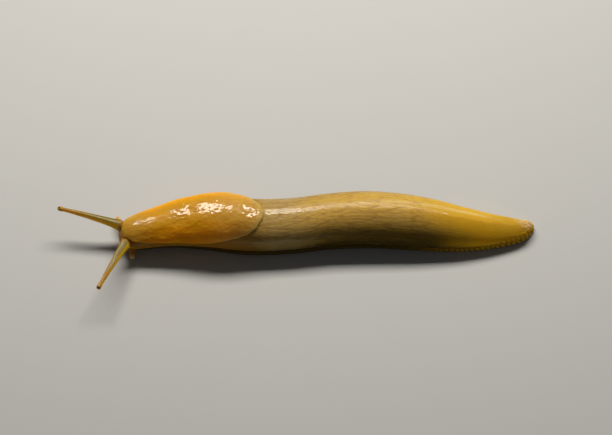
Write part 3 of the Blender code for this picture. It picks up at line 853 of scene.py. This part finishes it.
def fringe_grooves(run, height, width):
    """0 on the round lobes of the fringe and 1 in the narrow grooves: a bell curve about each.

    The grooves lean towards the head as they rise. They are set FRINGE_PITCH apart, a little
    unevenly, and wider on the tail.
    """
    lean = run - GROOVE_LEAN * height
    spread = np.minimum(lean, TAIL_RUN) + TAIL_PITCH_SHARE * np.maximum(lean - TAIL_RUN, 0)
    phase = (spread + 0.3 * noise(lean / 4, lean * 0, 31)) / FRINGE_PITCH
    return np.exp(-((phase - np.round(phase)) / width) ** 2)


def build_foot(sizes):
    """The foot: a flat sole, a rounded and grooved fringe, and a top that tucks in under the body."""
    turn = np.radians(np.linspace(-90, 90, FRINGE_STEPS + 1))
    inset = np.concatenate([SOLE_INSETS, FRINGE_ROUNDING * (1 - np.cos(turn)), TOP_INSETS])
    height = np.concatenate([[0, 0], FOOT_HEIGHT * (1 + np.sin(turn)) / 2, [FOOT_TOP, FOOT_TOP]])
    depth = np.concatenate([[0, 0.15], 0.35 + 0.65 * np.cos(turn), [0.2, 0]])
    made = Surface()
    indexes = []
    for side in (1, -1):
        points, out, run, s = foot_edge(side)
        strength = 0.4 + 0.6 * ease(s, 95, 125)[:, None]
        groove = fringe_grooves(run[:, None], height, 0.16) * depth * strength
        pull = inset + groove * sizes.depth / MM
        flat = points[:, None] - out[:, None] * pull[..., None]
        tall = np.broadcast_to(height, pull.shape)[..., None]
        place = np.concatenate([flat, tall], axis=-1)
        indexes.append(made.add(place, relief=groove, along=s[:, None], inset=inset))
    right, left = indexes
    left[[0, -1]] = right[[0, -1]]
    made.cover(strips(np.concatenate([right, left[:, ::-1]], axis=1)))
    made.drop_unused()
    return made


# The eyes

def build_eye(feeler):
    """A ball set in the end of an upper feeler: rings by latitude about the way that it looks."""
    latitude = np.radians(np.linspace(-90, 90, EYE_RINGS + 2))[1:-1]
    angle = np.linspace(0, 2 * math.pi, 2 * EYE_RINGS, endpoint=False)
    middle = feeler.size - EYE_SINK
    tilt = math.radians(EYE_TILT)
    ahead, radius = (EYE_RADIUS * part(latitude)[:, None] for part in (np.sin, np.cos))
    made = Surface()
    index = made.add(feeler.place_tip(middle + ahead, angle, radius, tilt))
    made.cover(strips(index))
    for ring, end in ((index[0][::-1], -1), (index[-1], 1)):
        made.cap(ring, feeler.place_tip(middle + end * EYE_RADIUS, 0.0, 0.0, tilt))
    return made


# Materials

# Distances s where a tone of the skin, or its gloss, comes in or fades
NECK_FADE = (36, 58)
SHEEN_BAND = (46, 56, 58, 74)
WET_BAND = (51, 55, 62, 74)
SHOULDER_FADE = (60, 86)
PAINTED_HIGHLIGHT_BAND = (76, 98, 124, 142)
GLOSS_FADE = (90, 112)
AMBER_START = (98, 122)
AMBER_LAG = (14, 15)  # how much further back those two lie on the flank
DUSK_START = (130, 140)

# Tones that multiply what they are laid over
DUSK = (0.3, 0.3, 0.3)
# painted shade in the skin's furrows, grooves and mouth slit, and between the tail's bumps
FURROW_SHADE = (0.42, 0.3, 0.15)
SKIN_MOTTLE = (0.6, 0.5, 0.35)
# painted shade in the mantle's breathing hole and its cleft
PIT_SHADE = (0.3, 0.18, 0.08)
MANTLE_MOTTLE = (0.8, 0.65, 0.4)
FOOT_MOTTLE = (0.6, 0.45, 0.3)

EYE_TONES = ((0.07, 0.02, 0.006), (0.16, 0.05, 0.014))

# What every wet finish starts from
WET = {
    "Roughness": 0.45, "IOR": 1.4, "Specular IOR Level": 0.25, "Coat Weight": 0.8, "Coat Roughness": 0.07,
    "Subsurface Weight": 1.0, "Subsurface Radius": (1.0, 0.6, 0.12), "Subsurface Scale": 0.002,
}


def sum_of(operation, swapped=False):
    """An operator for Socket, which adds a Math node with this operation."""
    def add_node(*values):
        inputs = values[::-1] if swapped else values
        return values[0].shader.node("Math", {"operation": operation}, dict(enumerate(inputs)))
    return add_node


class Socket:
    """A node's output. Sums on one that carries a number add Math nodes."""

    def __init__(self, shader, link):
        self.shader = shader
        self.link = link

    __add__ = __radd__ = sum_of("ADD")
    __mul__ = __rmul__ = sum_of("MULTIPLY")
    __sub__ = sum_of("SUBTRACT")
    __rsub__ = sum_of("SUBTRACT", swapped=True)
    __truediv__ = sum_of("DIVIDE")
    __rtruediv__ = sum_of("DIVIDE", swapped=True)
    __abs__ = sum_of("ABSOLUTE")


class Shader:
    """A material's node tree, built one node at a time."""

    def __init__(self, name):
        self.material = bpy.data.materials.new(name)
        self.material.use_nodes = True
        self.tree = self.material.node_tree
        self.tree.nodes.clear()

    def node(self, kind, settings=None, inputs=None, output=0):
        """A new node's output: its settings come first, then its inputs' values or links."""
        made = self.tree.nodes.new("ShaderNode" + kind)
        for name, value in (settings or {}).items():
            if name == "stops":
                self.set_stops(made.color_ramp, value)
            else:
                setattr(made, name, value)
        for key, value in (inputs or {}).items():
            if isinstance(value, Socket):
                self.tree.links.new(value.link, made.inputs[key])
            else:
                made.inputs[key].default_value = value
        return None if output is None else Socket(self, made.outputs[output])

    def set_stops(self, ramp, stops):
        """Gives a ramp its stops, each a place and a colour."""
        while len(ramp.elements) < len(stops):
            ramp.elements.new(1.0)
        for element, (place, tone) in zip(ramp.elements, stops):
            element.position = place
            element.color = (*tone, 1.0)

    def values(self, *names):
        """The mesh's values with these names."""
        return [self.node("Attribute", {"attribute_name": name}, output="Fac") for name in names]

    def step(self, value, low, high):
        """0 below low and 1 above high, with a soft step between."""
        settings = {"interpolation_type": "SMOOTHSTEP"}
        return self.node("MapRange", settings, {"Value": value, "From Min": low, "From Max": high})

    def fade(self, value, low, high):
        """1 below low and 0 above high, with a soft step between."""
        return 1 - self.step(value, low, high)

    def band(self, value, low, full, falling, gone):
        """1 from full to falling, and 0 below low and above gone, with soft steps between."""
        return self.step(value, low, full) * self.fade(value, falling, gone)

    def noise(self, scale, detail=2):
        """Cloudy noise from 0 to 1 on the object's own coordinates: at 1000 it is about a millimetre."""
        place = self.node("TexCoord", output="Object")
        return self.node("TexNoise", {}, {"Vector": place, "Scale": scale, "Detail": detail})

    def ramp(self, value, *stops):
        """The colour that a value falls on between stops, each a place and a colour."""
        return self.node("ValToRGB", {"stops": stops}, {0: value})

    def mix(self, part, one, other, blend="MIX"):
        """One colour turned towards another, or blended with it, by a part from 0 to 1."""
        settings = {"data_type": "RGBA", "blend_type": blend}
        one, other = (tone if isinstance(tone, Socket) else (*tone, 1.0) for tone in (one, other))
        return self.node("Mix", settings, {0: part, 6: one, 7: other}, output=2)

    def layers(self, base, *layers):
        """A base colour with layers over it, each a part from 0 to 1, its colour and perhaps a blend."""
        for part, tone, *blend in layers:
            base = self.mix(part, base, tone, *blend)
        return base

    def bump(self, height, distance, strength):
        return self.node("Bump", {}, {"Height": height, "Distance": distance, "Strength": strength})

    def finish(self, inputs):
        """Joins a Principled shader with these inputs to the output, and returns the material."""
        surface = self.node("BsdfPrincipled", {}, inputs)
        self.node("OutputMaterial", {}, {"Surface": surface}, output=None)
        return self.material


def skin_finish(tones):
    """Wet skin: tones by the angle from the ridge and the place along the body, partly painted shade.

    From the ridge down they darken partly by their own colour and partly by painted shade, and painted
    shade darkens the furrows; a painted highlight, a painted sheen and a painted glow lie on the back and
    tail.
    """
    shader = Shader("slug_skin_finish")
    along, turn, relief, feeler = shader.values("along", "turn", "relief", "feeler")
    cloud = shader.noise(260)
    place = along + 6 * (cloud - 0.5)
    shoulder = shader.fade(place, *SHOULDER_FADE) * shader.fade(turn, 0.5, 0.62)
    flank = shader.step(turn, 0.15, 0.45)
    amber = shader.step(place, *(start + lag * flank for start, lag in zip(AMBER_START, AMBER_LAG)))
    under = shader.step(turn, 0.54, 0.68)
    base = shader.layers(
        # from ridge to hem: the skin's own tones, with painted shade darkening them towards the foot
        shader.ramp(
            turn + 0.08 * (cloud - 0.5),
            (0, tones.ridge), (0.1, tones.ridge), (0.22, tones.back), (0.42, tones.flank),
            (0.6, tones.hem),
        ),
        (0.35 * shoulder, tones.back),
        # painted sheen just behind the mantle
        (0.45 * shader.band(place, *SHEEN_BAND), tones.collar_sheen),
        (shader.fade(place, *NECK_FADE), tones.neck),
        (0.9 * amber * (1 - 0.4 * under), tones.tail),
        # painted glow of light coming through the tail's lower side
        (0.9 * amber * shader.step(turn, 0.3, 0.45) * (1 - under), tones.painted_glow),
        (0.2 * shader.step(place, *DUSK_START), DUSK, "MULTIPLY"),
        # painted highlight along the ridge of the rear body
        (0.8 * shader.band(place, *PAINTED_HIGHLIGHT_BAND) * shader.fade(turn, 0, 0.06), tones.line),
        (shader.step(place - 8 * turn, *BUMPS_START) * shader.fade(turn, 0.36, 0.46), tones.tip),
        # painted shade in the furrows
        (0.6 * relief, FURROW_SHADE, "MULTIPLY"),
        (0.3 * shader.noise(900, 3), SKIN_MOTTLE, "MULTIPLY"),
        # pale flecks: partly the skin's own, partly painted glints of light on its grains
        (0.1 * shader.step(shader.noise(1300), 0.56, 0.74), tones.back),
        (shader.step(feeler, 0, 0.07), feeler_tone(shader, feeler, tones)),
    )
    height = shader.noise(1500, 3) + 0.5 * shader.noise(4000)
    dry = shader.step(turn, 0.36, 0.48)
    wet = 0.25 + 0.25 * shader.step(cloud, 0.5, 0.7) + 0.35 * shader.band(place, *WET_BAND)
    wet = wet * (1 - 0.6 * shader.step(place, *GLOSS_FADE))
    wet = wet * (1 - dry) * (1 - 0.5 * shader.step(feeler, 0, 0.1))
    return shader.finish({
        **WET, "Base Color": base, "Roughness": 0.5 + 0.3 * dry, "Coat Weight": wet,
        "Subsurface Radius": (1.0, 0.8, 0.12), "Normal": shader.bump(height, 0.0002, 0.25),
    })


def feeler_tone(shader, feeler, tones):
    """An upper feeler: from side to side golden with a painted glow of light coming through, then smoky
    with painted shade on its top and the side the light falls on, then orange; a painted highlight
    streak on top, an orange tip.

    The lower pair is orange, with paler tips, partly their own tone and partly painted light.
    """
    under, sidelong, lower = shader.values("under", "sidelong", "lower")
    upper = shader.layers(
        shader.ramp(
            sidelong,
            # painted glow on the golden side, painted shade on the top and lit side
            (0, tones.painted_feeler_glow), (0.08, tones.painted_feeler_glow), (0.25, tones.feeler),
            (0.45, tones.painted_feeler_shade), (0.8, tones.painted_feeler_shade), (1, tones.feeler_tip),
        ),
        # painted highlight streak along the top
        (shader.fade(under + 0.02 * (shader.noise(900) - 0.5), 0, 0.03), tones.streak),
        (0.5 * shader.step(feeler, 0.3, 0.85), tones.feeler_tip),
        (shader.step(feeler, 0.9, 0.96), tones.feeler_tip),
    )
    # paler tips on the lower pair: partly their own tone, partly painted light
    plain = shader.mix(0.6 * shader.step(feeler, 0.4, 0.85), tones.neck, tones.tip)
    return shader.mix(lower, upper, plain)


def mantle_finish(tones):
    """Wet, smooth flesh: yellow on top, orange down the sides, brightened there with painted light, and
    paler towards its rear margin, with painted shade in its breathing hole.
    """
    shader = Shader("slug_mantle_finish")
    along, around, reach, wet, relief = shader.values("along", "around", "reach", "wet", "relief")
    turn = abs(around) / 180
    cloud = shader.noise(220)
    rear = shader.step(along + 3 * (cloud - 0.5), 28, 50)
    base = shader.layers(
        shader.ramp(
            turn + 0.1 * (cloud - 0.5),
            # skirt: orange sides, brightened with painted light
            (0, tones.crown), (0.12, tones.crown), (0.3, tones.skirt), (0.42, tones.hem),
        ),
        (0.8 * shader.fade(along, 3, 16), tones.nose),
        (0.4 * rear, tones.margin),
        (0.5 * rear * shader.step(reach, 0.8, 0.96), tones.margin),
        # painted shade in the breathing hole and its cleft
        (0.8 * relief, PIT_SHADE, "MULTIPLY"),
        (0.2 * shader.noise(1100, 3), MANTLE_MOTTLE, "MULTIPLY"),
    )
    height = shader.noise(1200, 3) + 0.5 * shader.noise(3200)
    patch = shader.step(wet + 0.9 * (shader.noise(900) - 0.5), 0.35, 0.85) * shader.fade(turn, 0.1, 0.2)
    dry = shader.step(turn, 0.22, 0.38)
    coat = (0.08 + 0.9 * patch) * (1 - dry) * shader.fade(reach, 0.88, 0.95)
    return shader.finish({
        **WET, "Base Color": base, "Roughness": 0.5 + 0.25 * dry, "Coat Weight": coat,
        "Subsurface Scale": 0.0035, "Normal": shader.bump(height, 0.0002, 0.35),
    })


def foot_finish(tones):
    """A fringe as dark as the hem above it, partly painted shade, amber on the tail, with painted shade
    in its grooves, and a pale sole.
    """
    shader = Shader("slug_foot_finish")
    along, relief, inset = shader.values("along", "relief", "inset")
    base = shader.layers(
        tones.fringe,
        (shader.step(along, 100, 132), tones.tail),
        # painted shade in the grooves
        (0.8 * shader.step(relief, 0.15, 0.9), tones.groove),
        (shader.step(inset, 0.5, 1.3), tones.sole),
        (0.3 * shader.noise(700, 3), FOOT_MOTTLE, "MULTIPLY"),
    )
    return shader.finish({
        **WET, "Base Color": base, "Roughness": 0.7, "Coat Weight": 0.1,
        "Normal": shader.bump(shader.noise(1800, 3), 0.0002, 0.35),
    })


def eye_finish():
    """A black, glossy eyeball with a brown cast in its middle."""
    shader = Shader("slug_eye_finish")
    base = shader.mix(shader.noise(2500), *EYE_TONES)
    return shader.finish({
        "Base Color": base, "Roughness": 0.12, "Coat Weight": 1.0, "Coat Roughness": 0.03,
    })


def floor_finish(tone):
    """Matt pale board with a faint, fine tooth."""
    shader = Shader("floor_finish")
    base = shader.mix(0.3 * shader.noise(40, 4), tone, [0.94 * part for part in tone])
    tooth = shader.bump(shader.noise(2200, 3), 0.0001, 0.15)
    return shader.finish({"Base Color": base, "Roughness": 0.6, "Normal": tooth})


# The stage

def aim(made, place, target):
    """Sets a light or camera at a place, looking at a target."""
    made.location = place
    made.rotation_euler = (Vector(target) - Vector(place)).to_track_quat("-Z", "Y").to_euler()


def view_target():
    """The point on the floor in the middle of the picture, in the frame's metres."""
    return (np.array(VIEW_MIDDLE) - frame_shift()) * MM


def make_floor(tone):
    """A plain square on the ground."""
    data = bpy.data.meshes.new("floor")
    half = FLOOR_SIZE / 2
    corners = [(-half, -half, 0), (half, -half, 0), (half, half, 0), (-half, half, 0)]
    data.from_pydata(corners, [], [(0, 1, 2, 3)])
    data.materials.append(floor_finish(tone))
    made = placed("floor", data)


def make_camera(stage):
    """Looks at the middle of the view from the slug's left side, at the angle over the floor."""
    data = bpy.data.cameras.new("camera")
    data.lens = data.sensor_width * stage.distance / stage.width
    data.clip_start = 0.01
    made = placed("camera", data)
    target = view_target()
    out = np.array([0.0, -math.cos(stage.elevation), math.sin(stage.elevation)])
    aim(made, target + out * stage.distance, target)
    bpy.context.scene.camera = made


def make_lights(stage):
    """One soft, oblong light, tilted from overhead to the slug's right, and a faint one all round."""
    data = bpy.data.lights.new("key", "AREA")
    data.shape = "RECTANGLE"
    data.size, data.size_y = KEY_SIZE
    data.energy = stage.key
    data.color = KEY_TONE
    target = view_target()
    tilt = math.radians(KEY_TILT)
    out = np.array([KEY_ASIDE, math.sin(tilt), math.cos(tilt)])
    aim(placed("key", data), target + KEY_DISTANCE * out, target)
    world = bpy.data.worlds.new("studio")
    world.use_nodes = True
    background = world.node_tree.nodes["Background"]
    background.inputs["Color"].default_value = (*ROOM_TONE, 1.0)
    background.inputs["Strength"].default_value = stage.fill
    bpy.context.scene.world = world
    bpy.context.scene.view_settings.view_transform = "Standard"


# Operators

class SLUG_OT_skin(bpy.types.Operator):
    """Make the skin of the body and the feelers"""
    bl_idname = "slug.skin"
    bl_label = "Skin"

    def execute(self, context):
        sizes = context.scene.slug.skin
        build_skin(sizes).make("slug_skin", skin_finish(sizes), "body_skin", FLESH_NODES)
        return {"FINISHED"}


class SLUG_OT_mantle(bpy.types.Operator):
    """Make the mantle"""
    bl_idname = "slug.mantle"
    bl_label = "Mantle"

    def execute(self, context):
        sizes = context.scene.slug.mantle
        build_mantle(sizes).make("slug_mantle", mantle_finish(sizes), "mantle_skin", ["mantle"])
        return {"FINISHED"}


class SLUG_OT_foot(bpy.types.Operator):
    """Make the foot and its grooved fringe"""
    bl_idname = "slug.foot"
    bl_label = "Foot"

    def execute(self, context):
        sizes = context.scene.slug.foot
        build_foot(sizes).make("slug_foot", foot_finish(sizes), "foot_skin", FOOT_NODES)
        return {"FINISHED"}


class SLUG_OT_eyes(bpy.types.Operator):
    """Make the two eyes in the ends of the upper feelers"""
    bl_idname = "slug.eyes"
    bl_label = "Eyes"

    def execute(self, context):
        finish = eye_finish()
        for name in ("right", "left"):
            eye = build_eye(Feeler("upper_" + name))
            eye.make("slug_eye_" + name, finish, "eye", ["eye_" + name])
        return {"FINISHED"}


class SLUG_OT_stage(bpy.types.Operator):
    """Make the floor, the lights and the camera"""
    bl_idname = "slug.stage"
    bl_label = "Stage"

    def execute(self, context):
        stage = context.scene.slug.stage
        make_floor(stage.floor)
        make_lights(stage)
        make_camera(stage)
        return {"FINISHED"}


class SLUG_PT_maker(bpy.types.Panel):
    """Lists the slug's pieces and their settings"""
    bl_idname = "SLUG_PT_maker"
    bl_label = "Banana slug"
    bl_space_type = "VIEW_3D"
    bl_region_type = "UI"
    bl_category = "Slug"

    def draw(self, context):
        for part in ("skin", "mantle", "foot", "eyes", "stage"):
            box = self.layout.box()
            box.operator("slug." + part)
            group = getattr(context.scene.slug, part, None)
            for name in group.__annotations__ if group else ():
                box.prop(group, name)


CLASSES = (
    SkinSettings, MantleSettings, FootSettings, StageSettings, SlugSettings,
    SLUG_OT_skin, SLUG_OT_mantle, SLUG_OT_foot, SLUG_OT_eyes, SLUG_OT_stage, SLUG_PT_maker,
)


def register():
    for made in CLASSES:
        bpy.utils.register_class(made)
    bpy.types.Scene.slug = PointerProperty(
        type=SlugSettings, name="Slug", description="The slug's settings")


def unregister():
    del bpy.types.Scene.slug
    for made in reversed(CLASSES):
        bpy.utils.unregister_class(made)


def main():
    register()
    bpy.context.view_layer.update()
    bpy.ops.slug.skin()
    bpy.ops.slug.mantle()
    bpy.ops.slug.foot()
    bpy.ops.slug.eyes()
    bpy.ops.slug.stage()


if __name__ == "__main__":
    main()
